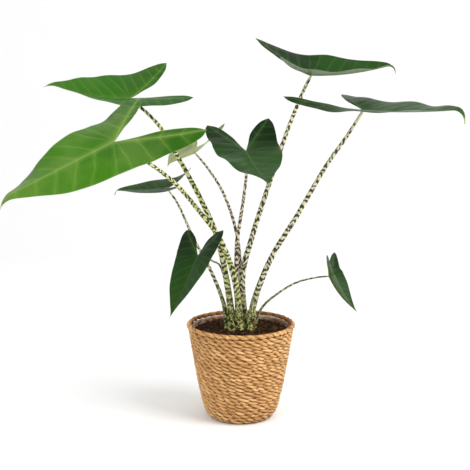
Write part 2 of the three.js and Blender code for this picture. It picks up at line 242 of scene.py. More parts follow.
# ------------------------------------------------------------------ node trees
class Wiring:
    """A short way to add nodes to a tree and join them."""

    def __init__(self, tree):
        self.tree = tree

    def node(self, kind, inputs=None, **settings):
        made = self.tree.nodes.new(kind)
        for name, value in settings.items():
            setattr(made, name, value)
        for key, value in (inputs or {}).items():
            if isinstance(value, bpy.types.NodeSocket):
                self.tree.links.new(value, made.inputs[key])
            else:
                made.inputs[key].default_value = value
        return made

    def first(self, kind, inputs=None, **settings):
        """The first output of a new node."""
        return self.node(kind, inputs, **settings).outputs[0]

    def math(self, operation, *values, clamp=False):
        return self.first(
            "ShaderNodeMath", dict(enumerate(values)), operation=operation, use_clamp=clamp
        )

    def plus(self, one, other):
        return self.math("ADD", one, other)

    def minus(self, one, other):
        return self.math("SUBTRACT", one, other)

    def times(self, one, other):
        return self.math("MULTIPLY", one, other)

    def vector(self, operation, *values):
        return self.first("ShaderNodeVectorMath", dict(enumerate(values)), operation=operation)

    def scaled(self, vector, factor):
        return self.first(
            "ShaderNodeVectorMath", {0: vector, "Scale": factor}, operation="SCALE"
        )

    def join(self, x, y, z):
        return self.first("ShaderNodeCombineXYZ", {0: x, 1: y, 2: z})

    def split(self, vector):
        return self.node("ShaderNodeSeparateXYZ", {0: vector}).outputs

    def noise(self, vector, scale, detail=2.0, roughness=0.5):
        return self.first(
            "ShaderNodeTexNoise",
            {"Vector": vector, "Scale": scale, "Detail": detail, "Roughness": roughness},
        )

    def grain(self, vector, stretch, detail=1.0, roughness=0.5, scale=1.0):
        """Noise that is finer along some axes than along others."""
        return self.noise(self.vector("MULTIPLY", vector, stretch), scale, detail, roughness)


class Look(Wiring):
    """A material's nodes; values are set on the shader's own sockets."""

    def __init__(self, name, roughness=0.5, **values):
        self.material = bpy.data.materials.new(name)
        self.material.use_nodes = True
        super().__init__(self.material.node_tree)
        self.sockets = self.tree.nodes["Principled BSDF"].inputs
        for label, value in {"Roughness": roughness, **values}.items():
            self.sockets[label.replace("_", " ")].default_value = value

    def here(self):
        """The place on the object, in metres."""
        return self.node("ShaderNodeTexCoord").outputs["Object"]

    def mark(self, name, output="Fac"):
        """What the mesh's points carry under this name."""
        return self.node("ShaderNodeAttribute", attribute_name=name).outputs[output]

    def speckle(self, vector):
        return self.first("ShaderNodeTexWhiteNoise", {"Vector": vector}, noise_dimensions="3D")

    def ramp(self, value, low, high, start=0.0, end=1.0):
        """value taken smoothly from low..high to start..end."""
        return self.first(
            "ShaderNodeMapRange", {0: value, 1: low, 2: high, 3: start, 4: end},
            interpolation_type="SMOOTHSTEP",
        )

    def coats(self, ground, *coats):
        """A colour with others laid over it in turn, each given as (cover, colour)."""
        for cover, colour_ in coats:
            pair = [c if isinstance(c, bpy.types.NodeSocket) else (*c, 1.0)
                    for c in (ground, colour_)]
            ground = self.node(
                "ShaderNodeMix", {0: cover, 6: pair[0], 7: pair[1]}, data_type="RGBA"
            ).outputs[2]
        return ground

    def finish(self, base, bump=None, distance=0.5 * MM, strength=0.6, **others):
        """The material, once its colour, a bump and any other sockets are joined up."""
        joined = {"Base Color": base, **others}
        if bump is not None:
            joined["Normal"] = self.first(
                "ShaderNodeBump", {"Height": bump, "Strength": strength, "Distance": distance}
            )
        for label, value in joined.items():
            self.tree.links.new(value, self.sockets[label])
        return self.material


class Growth(Wiring):
    """A Geometry Nodes tree with a mesh input, the named inputs and a material input."""

    def __init__(self, name, numbers, whole_numbers=()):
        super().__init__(bpy.data.node_groups.new(name, "GeometryNodeTree"))
        face = self.tree.interface
        face.new_socket(name="Geometry", in_out="OUTPUT", socket_type="NodeSocketGeometry")
        for label, kind in {
            "Geometry": "Geometry", **dict.fromkeys(numbers, "Float"),
            **dict.fromkeys(whole_numbers, "Int"), "Material": "Material",
        }.items():
            face.new_socket(name=label, in_out="INPUT", socket_type="NodeSocket" + kind)
        self.given = self.node("NodeGroupInput").outputs

    def named(self, label):
        return self.node(
            "GeometryNodeInputNamedAttribute", {"Name": label}, data_type="FLOAT"
        ).outputs["Attribute"]

    def keep(self, geometry, label, value, kind="FLOAT"):
        """The geometry, with a value kept on its points."""
        return self.first(
            "GeometryNodeStoreNamedAttribute",
            {"Geometry": geometry, "Name": label, "Value": value},
            data_type=kind, domain="POINT",
        )

    def line(self):
        return self.first("GeometryNodeMeshToCurve", {0: self.given["Geometry"]})

    def section(self, sides):
        """A circle of radius 1 whose points know how far round they are."""
        circle = self.first(
            "GeometryNodeCurvePrimitiveCircle", {"Resolution": sides, "Radius": 1.0}
        )
        share = self.node("GeometryNodeSplineParameter").outputs["Factor"]
        return self.keep(circle, "side", self.times(share, TURN))

    def fibre(self):
        """A place on the skin of a strand, unrolled without a seam: across twice, and along."""
        side = self.named("side")
        return self.join(self.math("COSINE", side), self.math("SINE", side), self.named("along"))

    def close(self, geometry):
        """The tree, once it is ended: smooth, realize and give the material."""
        smooth = self.first("GeometryNodeSetShadeSmooth", {"Geometry": geometry})
        real = self.first("GeometryNodeRealizeInstances", {"Geometry": smooth})
        done = self.first(
            "GeometryNodeSetMaterial", {"Geometry": real, "Material": self.given["Material"]}
        )
        self.node("NodeGroupOutput", {"Geometry": done})
        return self.tree


def grown(name, base, tree, values):
    """The plain mesh object that a tree makes from the base mesh."""
    source = bpy.data.objects.new(name + "_source", base)
    bpy.context.scene.collection.objects.link(source)
    modifier = source.modifiers.new("Growth", "NODES")
    modifier.node_group = tree
    for item in tree.interface.items_tree:
        if item.in_out == "INPUT" and item.name in values:
            modifier[item.identifier] = values[item.name]
    depsgraph = bpy.context.evaluated_depsgraph_get()
    mesh = bpy.data.meshes.new_from_object(
        source.evaluated_get(depsgraph), preserve_all_data_layers=True, depsgraph=depsgraph
    )
    bpy.data.objects.remove(source)
    if not len(mesh.polygons):
        raise RuntimeError(f"the tree {tree.name} made nothing for {name}")
    mesh.name = name
    return place(name, mesh)


def place(name, mesh):
    made = bpy.data.objects.new(name, mesh)
    bpy.context.scene.collection.objects.link(made)
    return made


def stand_for(piece, slot, *nodes):
    """Ties a finished piece to the CAD body and hides the nodes it replaces; slot is not used."""
    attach(piece, BODY)
    if nodes:
        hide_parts(*nodes)


def mesh_of(name, points, faces=(), edges=(), material=None, attributes=None):
    mesh = bpy.data.meshes.new(name)
    mesh.from_pydata([tuple(p) for p in points], [tuple(e) for e in edges],
                     [tuple(f) for f in faces])
    if material:
        mesh.materials.append(material)
    for label, values in (attributes or {}).items():
        values = np.asarray(values, np.float32)
        kind, field = ("FLOAT", "value") if values.ndim == 1 else ("FLOAT_VECTOR", "vector")
        mesh.attributes.new(label, kind, "POINT").data.foreach_set(field, values.ravel())
    if faces:
        mesh.shade_smooth()
    return mesh


def profile_of(node):
    """Outer radius at each height of a turned CAD node, as rows of (radius, z)."""
    at = np.array([v.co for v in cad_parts[node].data.vertices])
    radius, height = np.hypot(at[:, 0], at[:, 1]), np.round(at[:, 2], 5)
    return np.array([(max(radius[height == z]), z) for z in np.unique(height)])


def circle_points(angle, radius, height):
    """Points round Z at these angles."""
    return list(zip(radius * np.cos(angle), radius * np.sin(angle), height + 0 * angle))


def band_faces(bands, count_, first=0, closed=True, flip=False):
    """Quads between rows of count_ points; closed also joins each row's ends."""
    faces = []
    for row in range(first, first + bands * count_, count_):
        for k in range(count_ if closed else count_ - 1):
            a, b = row + k, row + (k + 1) % count_
            faces.append((a, a + count_, b + count_, b) if flip
                         else (a, b, b + count_, a + count_))
    return faces


def fan_faces(first, count_, centre):
    """Triangles that close a ring of points with its centre."""
    return [(first + (k + 1) % count_, first + k, centre) for k in range(count_)]


def links_of(count_):
    """Edges that join points in a row."""
    return [(k, k + 1) for k in range(count_ - 1)]


def thicken(piece, thickness, offset):
    wall = piece.modifiers.new("Wall", "SOLIDIFY")
    wall.thickness, wall.offset = thickness, offset


def generator_for(seed):
    return np.random.default_rng(seed)


def smooth_noise(x, y, generator, wavelengths, amplitudes, waves=5):
    """A sum of randomly turned waves, for lumps in a surface."""
    total = np.zeros_like(x)
    for wavelength, amplitude in zip(wavelengths, amplitudes):
        for _ in range(waves):
            turn, shift = generator.uniform(0, TURN, 2)
            run = (x * math.cos(turn) + y * math.sin(turn)) * TURN / wavelength
            total += amplitude * np.sin(run + shift) / waves ** 0.5
    return total


# ------------------------------------------------------------------ basket
WEAVE_DEPTH = 0.9 * MM  # a strand's swing in and out as it twists
WEAVE_HEIGHT = 1.9 * MM  # its swing up and down
FOOT_GAP = 2.3 * MM  # from the ground to the lowest row's own band
STAKE_FOOT = 1 * MM  # from the ground to the end of a stake's middle line
STAKE_HALF_WIDTH = 3.5 * MM
STAKE_HALF_THICKNESS = 1 * MM
BORDER_INSET = 4.4 * MM  # from the rim's outside to the middle of the border
BOTTOM_LIFT = 0.6 * MM  # the bottom's coils lie this far above the middle of the base
FIRST_COIL = 3.2 * MM
ROW_SHIFT = 0.37  # how far a row's own phase moves it through the noise, so rows differ
UNEVEN_SCALE, HAND_SCALE, THICK_SCALE = 15.0, 24.0, 95.0  # noise per metre
THINNEST, BY_OUTNESS, BY_NOISE = 0.4, 0.5, 0.7  # what a strand's girth is made up of


def seagrass_material(basket):
    """Dry twisted grass: each turn of a strand has its own tone, with fibres along it, and painted
    shade where the strand turns in towards the gaps.
    """
    w = Look("Seagrass", 0.6, Specular_IOR_Level=0.25)
    fibre = w.mark("fibre", "Vector")
    turns, row, outness = w.split(w.mark("turn", "Vector"))[:3]
    tone = w.speckle(w.join(w.math("FLOOR", w.plus(turns, 0.5)), row, 0.0))
    patch = w.noise(w.here(), 22.0)
    streak = w.grain(fibre, (3.2, 3.2, 90.0), 3.0, 0.6)
    fine = w.grain(fibre, (7.0, 7.0, 160.0), 2.0, 0.6)
    base = w.coats(
        basket.middle,
        (w.ramp(tone, 0.0, 0.6, 0.4, 0.0), basket.dark),
        (w.ramp(tone, 0.6, 1.0, 0.0, 0.45), basket.light),
        (w.ramp(streak, 0.5, 0.68, 0.0, 0.85), basket.light),
        (w.ramp(streak, 0.46, 0.3, 0.0, 0.6), basket.dark),
        (w.ramp(patch, 0.55, 0.8, 0.0, 0.25), basket.dark),
        # painted shade: the strand darkens as it turns in from the outside towards the gaps
        (w.ramp(outness, 0.3, -0.5, 0.0, 0.92), basket.dark),
    )
    return w.finish(base, fine, strength=0.7, Roughness=w.ramp(streak, 0.3, 0.7, 0.62, 0.42))


def stake_material(basket):
    w = Look("Seagrass stakes", 0.8)
    streak = w.grain(w.here(), (1.0, 1.0, 0.12), 3.0, scale=900.0)
    base = w.coats(basket.dark, (0.35, (0.02, 0.012, 0.005)),
                   (w.ramp(streak, 0.35, 0.7), basket.dark))
    return w.finish(base, streak, 0.3 * MM)


def ring_mesh(name, rings, generator, steps=160):
    """Closed circles of (radius, height), each with its own random phase."""
    angle = np.arange(steps) * TURN / steps
    points, edges, phase = [], [], []
    for number_, (radius, height) in enumerate(rings):
        first = number_ * steps
        points += [(radius * math.cos(a), radius * math.sin(a), height) for a in angle]
        edges += [(first + k, first + (k + 1) % steps) for k in range(steps)]
        phase += [generator.uniform(0, TURN)] * steps
    return mesh_of(name, points, edges=edges, attributes={"phase": phase})


def twining_tree():
    """Pairs of strands twisted round one another along closed circles about Z."""
    w = Growth("Twined rows", (
        "Twist Length", "Strand Radius", "Depth", "Height", "Wobble", "Step", "Seed",
        "Unevenness", "Shade",
    ))
    given = w.given
    rows = w.first("GeometryNodeResampleCurve", {"Curve": w.line(), "Length": given["Step"]},
                   mode="LENGTH")
    at = w.first("GeometryNodeInputPosition")
    x, y, _ = w.split(at)
    outward = w.vector("NORMALIZE", w.join(x, y, 0.0))
    around = w.node("GeometryNodeSplineLength").outputs["Length"]
    turns = w.math("ROUND", w.math("DIVIDE", around, given["Twist Length"]))
    own = w.named("phase")
    shifted = w.vector("ADD", at, w.join(0.0, 0.0, w.times(own, ROW_SHIFT)))
    uneven = w.times(w.noise(shifted, UNEVEN_SCALE, 1.0), given["Unevenness"])
    phase = w.plus(w.times(w.math("ARCTAN2", y, x), turns), w.plus(own, uneven))
    hand, thick = (
        w.noise(w.vector("ADD", shifted, w.join(x_shift, y_shift, 0.0)), scale, 1.0)
        for x_shift, y_shift, scale in ((given["Seed"], 0.0, HAND_SCALE),
                                        (0.0, given["Seed"], THICK_SCALE))
    )
    hand = w.times(w.minus(hand, 0.5), given["Wobble"])
    profile = w.section(7)
    plies = []
    for ply in (0.0, math.pi):
        turned = w.plus(phase, ply)
        outness = w.math("COSINE", turned)
        rise = w.minus(hand, w.times(w.math("SINE", turned), given["Height"]))
        offset = w.vector("ADD", w.scaled(outward, w.times(outness, given["Depth"])),
                          w.join(0.0, 0.0, rise))
        # the third mark, how far the strand faces out times Shade, becomes painted shade in the
        # gaps in the seagrass material
        marks = w.join(w.math("DIVIDE", turned, TURN), w.plus(own, ply),
                       w.times(outness, given["Shade"]))
        bulge = w.plus(w.times(w.math("POWER", outness, 2.0), BY_OUTNESS), THINNEST)
        size = w.times(given["Strand Radius"], w.plus(w.times(thick, BY_NOISE), bulge))
        strand = w.keep(rows, "turn", marks, "FLOAT_VECTOR")
        strand = w.keep(strand, "along", w.node("GeometryNodeSplineParameter").outputs["Length"])
        strand = w.keep(strand, "girth", size)
        strand = w.first("GeometryNodeSetPosition", {"Geometry": strand, "Offset": offset})
        plies.append(w.first("GeometryNodeCurveToMesh", {
            "Curve": strand, "Profile Curve": profile, "Scale": w.named("girth"),
        }))
    both = w.node("GeometryNodeJoinGeometry")
    for made in plies:
        w.tree.links.new(made, both.inputs[0])
    return w.close(w.keep(both.outputs[0], "fibre", w.fibre(), "FLOAT_VECTOR"))


def stake_tree():
    """Copies of one upright line, each a flat stake, set evenly about Z."""
    w = Growth("Upright stakes", ("Thickness",), ("Count",))
    given = w.given
    section = w.first("GeometryNodeCurvePrimitiveCircle", {"Resolution": 6, "Radius": 1.0})
    flat = w.first("GeometryNodeTransform", {
        "Geometry": section, "Scale": w.join(STAKE_HALF_WIDTH, given["Thickness"], 1.0),
    })
    stake = w.first("GeometryNodeCurveToMesh", {
        "Curve": w.line(), "Profile Curve": flat, "Scale": 1.0, "Fill Caps": True,
    })
    spots = w.first("GeometryNodeMeshCircle", {"Vertices": given["Count"], "Radius": 0.0})
    turn = w.times(w.first("GeometryNodeInputIndex"), w.math("DIVIDE", TURN, given["Count"]))
    return w.close(w.first("GeometryNodeInstanceOnPoints", {
        "Points": spots, "Instance": stake, "Rotation": w.join(0.0, 0.0, turn),
    }))


class ALOCASIA_OT_basket(bpy.types.Operator):
    """Twine the basket's side, border and bottom out of pairs of grass strands"""

    bl_idname = "alocasia.basket"
    bl_label = "Basket"

    def execute(self, context):
        basket = context.scene.alocasia_basket
        generator = generator_for(basket.seed)
        outer = profile_of("basket_wall")
        low, high = outer[0, 1] + FOOT_GAP, outer[-1, 1]
        reach = 1.2 * basket.strand + WEAVE_DEPTH
        rows = round((high - low) / basket.row_pitch)
        heights = low + (np.arange(rows) + 0.5) * (high - low) / rows
        radii = np.interp(heights, outer[:, 1], outer[:, 0]) - reach
        low_rim, high_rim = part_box("basket_rim")
        border = (high_rim.x - BORDER_INSET, (low_rim.z + high_rim.z) / 2)
        base_low, base_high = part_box("basket_base")
        level = (base_low.z + base_high.z) / 2 + BOTTOM_LIFT
        coils = np.arange(FIRST_COIL, base_high.x - 2 * MM, basket.row_pitch * 0.8)

        tree = twining_tree()
        values = {
            "Twist Length": basket.twist, "Strand Radius": basket.strand,
            "Depth": WEAVE_DEPTH, "Height": WEAVE_HEIGHT, "Wobble": basket.wobble,
            "Step": 3.0 * MM, "Seed": 0.1 * basket.seed, "Unevenness": 9.0,
            "Shade": 1.0, "Material": seagrass_material(basket),
        }
        for name, node, rings, steps, changes in (
            ("side", "basket_wall", zip(radii, heights), 160, {}),
            ("border", "basket_rim", [border], 240, {
                "Twist Length": basket.border_twist, "Strand Radius": basket.border_strand,
                "Depth": 1.7 * MM, "Step": 1.8 * MM, "Shade": 0.6,
            }),
            ("bottom", "basket_base", [(r, level) for r in coils], 160, {
                "Strand Radius": 1.9 * MM, "Depth": 1.6 * MM, "Height": 0.7 * MM,
                "Twist Length": 0.8 * basket.twist, "Wobble": 0.5 * MM,
            }),
        ):
            mesh = ring_mesh(name + "_rows", rings, generator, steps)
            piece = grown("basket_" + name, mesh, tree, {**values, **changes})
            stand_for(piece, "seagrass", node)

        middle_line = [(r - reach, 0, max(z, STAKE_FOOT)) for r, z in outer]
        line = mesh_of("stake_line", middle_line, edges=links_of(len(middle_line)))
        stakes = grown("basket_stakes", line, stake_tree(), {
            "Count": basket.stakes, "Thickness": STAKE_HALF_THICKNESS,
            "Material": stake_material(basket),
        })
        stand_for(stakes, "seagrass")
        return {"FINISHED"}


# ------------------------------------------------------------------ liner
EDGE_START = 0.93  # share of the liner's height above which its cut edge leans in
FILM_THICKNESS = 0.25 * MM
EDGE_WAVES = (3, 5, 8, 13, 21, 34)  # waves round the cut edge
FOLDS = (17, 29, 41, 55)  # creases round the film


def film_material(liner):
    w = Look("Clear film", 0.28, Specular_IOR_Level=0.6)
    here = w.here()
    cloud = w.noise(here, 60.0, 4.0, 0.6)
    milky = w.grain(here, (1.0, 1.0, 0.6), 2.0, scale=34.0)
    cover = w.math("ADD", w.ramp(milky, 0.52, 0.66, 0.03, 0.25),
                   w.ramp(w.mark("edge"), 0.95, 1.0, 0.0, 0.3), clamp=True)
    base = w.coats(liner.film, (w.ramp(cloud, 0.4, 0.65), linear(222, 192, 166)))
    return w.finish(base, w.noise(here, 260.0, 3.0), 1.0 * MM, Alpha=cover)


class ALOCASIA_OT_liner(bpy.types.Operator):
    """Line the basket with crumpled film whose cut edge shows above the soil"""

    bl_idname = "alocasia.liner"
    bl_label = "Liner"

    def execute(self, context):
        liner = context.scene.alocasia_liner
        generator = generator_for(liner.seed)
        outer = profile_of("plastic_liner")
        floor_z, top_z = outer[0, 1], outer[-1, 1]
        around, up = 240, 34
        angle = np.arange(around) * TURN / around
        waves = [(k, generator.uniform(0, TURN), generator.uniform(0.4, 1.0) / k ** 0.5)
                 for k in EDGE_WAVES]
        wavy = sum(size * np.sin(k * angle + shift) for k, shift, size in waves)
        wavy /= np.abs(wavy).max()
        folds = [(k, generator.uniform(0, TURN)) for k in FOLDS]
        top = top_z - liner.scallop * (0.45 - 0.55 * wavy)
        points, rising = [], []
        for share in np.arange(up + 1) / up:
            rising += [share] * around
            height = floor_z + (top - floor_z) * share
            radius = np.interp(height, outer[:, 1], outer[:, 0])
            crease = sum(np.sin(k * angle + shift + 5 * share * (k % 3)) for k, shift in folds)
            bend = max(share - EDGE_START, 0) / (1 - EDGE_START)
            lean = liner.scallop * 0.7 * bend * (0.5 + 0.5 * wavy)
            radius = radius - liner.crumple * (0.55 + 0.22 * crease) - lean
            points += circle_points(angle, radius, height)
        faces = band_faces(up, around) + fan_faces(0, around, len(points))
        points.append((0, 0, floor_z + 0.3 * MM))
        mesh = mesh_of("liner_film", points, faces, material=film_material(liner),
                       attributes={"edge": rising + [0]})
        film = place("liner_film", mesh)
        thicken(film, FILM_THICKNESS, -1)
        stand_for(film, "clear_plastic", "plastic_liner")
        return {"FINISHED"}


# ------------------------------------------------------------------ soil
SOIL_SWELL = 0.8 * MM  # how far the bed stands above the CAD's soil
LUMP_SPANS = (0.05, 0.017, 0.007, 0.0035)  # metres
LUMP_HEIGHTS = (0.9, 0.7, 0.45, 0.3)  # shares of the grain's half height
CRUMB_SMALLEST, CRUMB_LARGEST = (0.3, 0.3, 0.25), (1.7, 1.1, 0.9)  # shares of the crumb size


def peat_material(name, soil, crumb=False):
    w = Look(name, 0.9, Specular_IOR_Level=0.12)
    here = w.here()
    lump, speck = w.noise(here, 120.0, 5.0, 0.65), w.noise(here, 520.0)
    base = w.coats(soil.dark, (w.ramp(lump, 0.42, 0.72), soil.light))
    if crumb:
        own = w.speckle(w.vector("FLOOR", w.scaled(here, 260.0)))
        base = w.coats(base, (w.ramp(own, 0.55, 1.0, 0.0, 0.8), linear(110, 66, 38)))
    base = w.coats(base, (w.ramp(speck, 0.68, 0.76, 0.0, 0.6), linear(150, 108, 76)))
    return w.finish(base, speck, 1.0 * MM)


def bark_material():
    w = Look("Root bark", 0.9)
    rings = w.grain(w.here(), (1.0, 1.0, 4.0), 4.0, scale=90.0)
    base = w.coats(linear(70, 48, 30), (w.ramp(rings, 0.35, 0.7), linear(132, 98, 62)))
    return w.finish(base, rings, 1.0 * MM)


def crumb_tree():
    """Loose crumbs strewn over a surface, each turned and sized at random."""
    w = Growth("Soil crumbs", ("Density", "Size"), ("Seed",))
    given = w.given
    spots = w.first("GeometryNodeDistributePointsOnFaces", {
        "Mesh": given["Geometry"], "Density": given["Density"], "Seed": given["Seed"],
    })
    ball = w.first("GeometryNodeMeshIcoSphere", {"Radius": given["Size"], "Subdivisions": 2})
    at = w.first("GeometryNodeInputPosition")
    bumpy = w.minus(w.noise(at, 700.0, 1.0), 0.5)
    ball = w.first("GeometryNodeSetPosition", {"Geometry": ball, "Offset": w.scaled(at, bumpy)})
    turn, size = (
        w.first("FunctionNodeRandomValue", {"Min": low, "Max": high, "Seed": seed},
                data_type="FLOAT_VECTOR")
        for low, high, seed in (
            ((0.0, 0.0, 0.0), (TURN, TURN, TURN), given["Seed"]),
            (CRUMB_SMALLEST, CRUMB_LARGEST, 2),
        )
    )
    return w.close(w.first("GeometryNodeInstanceOnPoints", {
        "Points": spots, "Instance": ball, "Rotation": turn, "Scale": size,
    }))


class ALOCASIA_OT_soil(bpy.types.Operator):
    """Fill the liner with lumpy soil, strew crumbs on it, and finish the rootstock"""

    bl_idname = "alocasia.soil"
    bl_label = "Soil"

    def execute(self, context):
        soil = context.scene.alocasia_soil
        outer = profile_of("soil")
        edge_radius, edge_z = outer[np.argmax(outer[:, 0])]
        crown = outer[-1, 1] - edge_z
        rings, around = 64, 200
        angle = np.arange(around) * TURN / around
        points = []
        for ring in range(1, rings + 1):
            radius = edge_radius * ring / rings
            inward = 1 - radius / edge_radius
            swell = crown * (1 - (radius / edge_radius) ** 2) + SOIL_SWELL
            lumps = smooth_noise(
                radius * np.cos(angle), radius * np.sin(angle), generator_for(soil.seed),
                LUMP_SPANS, LUMP_HEIGHTS,
            )
            calm = min(1.0, 4 * inward + 0.35)
            height = edge_z + swell + soil.grain * 0.5 * lumps * calm
            points += circle_points(angle, radius, height)
        points.insert(0, (0, 0, points[0][2]))
        sides = [row for row in outer[::-1] if row[1] < edge_z - 1 * MM]
        for radius, height in sides:
            points += circle_points(angle, radius, height)
        faces = [(0, 1 + k, 1 + (k + 1) % around) for k in range(around)]
        faces += band_faces(rings + len(sides) - 1, around, first=1, flip=True)
        faces += fan_faces(len(points) - around, around, len(points))
        points.append((0, 0, outer[0, 1]))
        peat = peat_material("Damp peat", soil)
        ground = place("soil_bed", mesh_of("soil_bed", points, faces, material=peat))
        stand_for(ground, "soil", "soil")

        inner = faces[:around * (rings - 2)]  # the crumbs keep clear of the outermost rings
        surface = mesh_of("soil_surface", points[:1 + around * (rings - 1)], inner)
        crumbs = grown("soil_crumbs", surface, crumb_tree(), {
            "Density": soil.crumbs / (math.pi * edge_radius ** 2), "Size": soil.crumb_size,
            "Seed": soil.seed, "Material": peat_material("Peat crumbs", soil, crumb=True),
        })
        stand_for(crumbs, "soil")

        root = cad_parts["rootstock"]
        root.data.materials.clear()
        root.data.materials.append(bark_material())
        return {"FINISHED"}


# ------------------------------------------------------------------ stems
STEM_STEPS = 170
FLARE = 0.42  # extra girth where a stem comes out of the soil
FLARE_HEIGHT = 42 * MM
NECK = 9 * MM  # the last stretch, where a stem narrows into its blade
FOOT_GIRTH, BLADE_GIRTH = 1.02, 0.87  # shares of the CAD stem's radius at its two ends
# For each kind of stem: the share of it that is dark, and where along it the bands fade.
STEM_BANDS = {"yellow": (0.48, 0.93), "green": (0.56, 0.9), "rosy": (0.55, 0.92),
              "thin": (0.62, 0.97)}


def stem_route(plant, steps):
    """Points of a stem's centre line, from foot to blade: a centripetal Catmull-Rom curve."""
    x, y = plant["foot"]
    root_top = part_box("rootstock")[1].z / MM + 0.3
    soil_top = profile_of("soil")
    edge = soil_top[np.argmax(soil_top[:, 0]), 1] / MM
    knots = np.array([(x, y, root_top), (x, y, edge), *plant["via"], plant["at"]], float)
    ends = (2 * knots[0] - knots[1], 2 * knots[-1] - knots[-2])
    knots = np.vstack([ends[0], knots, ends[1]])
    made = []
    for share in np.linspace(0, 1, steps + 1):
        spot = share * (len(knots) - 3)
        k = min(int(spot), len(knots) - 4)
        t = spot - k
        p0, p1, p2, p3 = knots[k:k + 4]
        d0, d1, d2 = (np.linalg.norm(b - a) ** 0.5 for a, b in ((p0, p1), (p1, p2), (p2, p3)))
        t1 = ((p1 - p0) / d0 - (p2 - p0) / (d0 + d1) + (p2 - p1) / d1) * d1
        t2 = ((p2 - p1) / d1 - (p3 - p1) / (d1 + d2) + (p3 - p2) / d2) * d1
        made.append(p1 + t1 * t + (3 * (p2 - p1) - 2 * t1 - t2) * t ** 2
                    + (2 * (p1 - p2) + t1 + t2) * t ** 3)
    return np.array(made) * MM


def stem_tree():
    """A tapered stalk along a line whose points carry their own girth."""
    w = Growth("Tapered stalk", ("Lumps",), ("Sides",))
    stalk = w.first("GeometryNodeCurveToMesh", {
        "Curve": w.line(), "Profile Curve": w.section(w.given["Sides"]),
        "Scale": w.named("girth"), "Fill Caps": True,
    })
    fibre = w.fibre()
    stalk = w.keep(stalk, "fibre", fibre, "FLOAT_VECTOR")
    push = w.times(w.minus(w.grain(fibre, (0.8, 0.8, 40.0)), 0.5), w.given["Lumps"])
    return w.close(w.first("GeometryNodeSetPosition", {
        "Geometry": stalk, "Offset": w.scaled(w.first("GeometryNodeInputNormal"), push),
    }))


def stem_material(name, settings):
    """Zebra-striped stalk: broken dark bands on a pale ground, mottled near the soil."""
    cover, plain_end = STEM_BANDS[name]
    w = Look("Stem " + name, 0.4, Specular_IOR_Level=0.2, Subsurface_Weight=0.05,
             Subsurface_Scale=2 * MM)
    x, y, along = w.split(w.mark("fibre", "Vector"))
    run = w.times(along, 1 / settings.band)
    spot = w.join(w.plus(x, w.mark("own")), y, run)
    drift, broken, flecks = (
        w.grain(spot, stretch)
        for stretch in ((0.6, 0.6, 0.5), (0.95, 0.95, 1.5), (2.2, 2.2, 2.6))
    )
    blotch = w.grain(spot, (1.5, 1.5, 2.6), 2.0)
    wave = w.math("SINE", w.times(w.plus(run, w.times(drift, 2.6)), TURN))
    wave = w.plus(wave, w.times(w.minus(broken, 0.5), 3.6))
    level = w.ramp(w.mark("share"), plain_end, 1.0, 0.9 - 1.8 * cover, 3.0)
    bands = w.ramp(w.minus(wave, level), -0.15, 0.15)
    low = w.ramp(along, 0.045, 0.12, 1.0, 0.0)
    blotches = w.times(w.ramp(blotch, 0.46, 0.51), low)
    dark = w.times(w.plus(w.times(bands, w.minus(1.0, low)), blotches), 0.95)
    fleck = w.times(w.ramp(flecks, 0.56, 0.64), w.ramp(low, 0.0, 1.0, 0.3, 0.85))
    base = w.coats(
        getattr(settings, name),
        (w.ramp(drift, 0.35, 0.65, 0.0, 0.5), linear(226, 224, 186)),
        (low, settings.foot), (fleck, linear(62, 78, 34)), (dark, settings.dark),
    )
    return w.finish(base, broken, 0.2 * MM, Roughness=w.ramp(dark, 0.0, 1.0, 0.42, 0.3))


class ALOCASIA_OT_stems(bpy.types.Operator):
    """Grow the nine zebra-striped stems"""

    bl_idname = "alocasia.stems"
    bl_label = "Stems"

    def execute(self, context):
        settings = context.scene.alocasia_stem
        tree = stem_tree()
        looks = {name: stem_material(name, settings) for name in STEM_BANDS}
        share = np.linspace(0, 1, STEM_STEPS + 1)
        soil_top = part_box("soil")[1].z
        for number_, (letter, plant) in enumerate(PLANT.items()):
            route = stem_route(plant, STEM_STEPS)
            pieces = np.linalg.norm(np.diff(route, axis=0), axis=1)
            along = np.concatenate([[0], np.cumsum(pieces)])
            foot, blade = plant["radius"]
            girth = FOOT_GIRTH * foot + (BLADE_GIRTH * blade - FOOT_GIRTH * foot) * share
            above = np.maximum(route[:, 2] - soil_top, 0)
            girth *= 1 + FLARE * np.exp(-above / FLARE_HEIGHT)
            girth *= 0.4 + 0.6 * np.clip((along[-1] - along) / NECK, 0, 1) ** 0.6
            line = mesh_of(
                f"line_{letter}", route, edges=links_of(STEM_STEPS + 1),
                attributes={"girth": girth * MM, "along": along, "share": share,
                            "own": np.full(STEM_STEPS + 1, 3.7 * number_)},
            )
            stalk = grown(f"stalk_{letter}", line, tree, {
                "Sides": settings.sides, "Lumps": 0.12 * foot * MM,
                "Material": looks[LOOK_OF_STEM[letter]],
            })
            stand_for(stalk, "mottled_stem", f"stem_{letter}")
        return {"FINISHED"}


# ------------------------------------------------------------------ dried sheath
SHEATH_FACING, SHEATH_SWEEP = math.radians(-20), math.radians(84)
SHEATH_RADIUS = 7.6  # mm, as are the other sizes of its shape
PAPER_THICKNESS = 0.6 * MM


def papery_material(settings):
    w = Look("Papery sheath", 0.75)
    mark = w.mark("mark", "Vector")
    streak = w.grain(mark, (34.0, 2.5, 1.0), 3.0)
    base = w.coats(
        linear(78, 54, 30), (w.ramp(streak, 0.35, 0.7), settings.sheath),
        (w.ramp(w.split(mark)[1], 0.7, 1.0, 0.0, 0.5), linear(206, 170, 112)),
    )
    return w.finish(base, streak, 0.4 * MM)


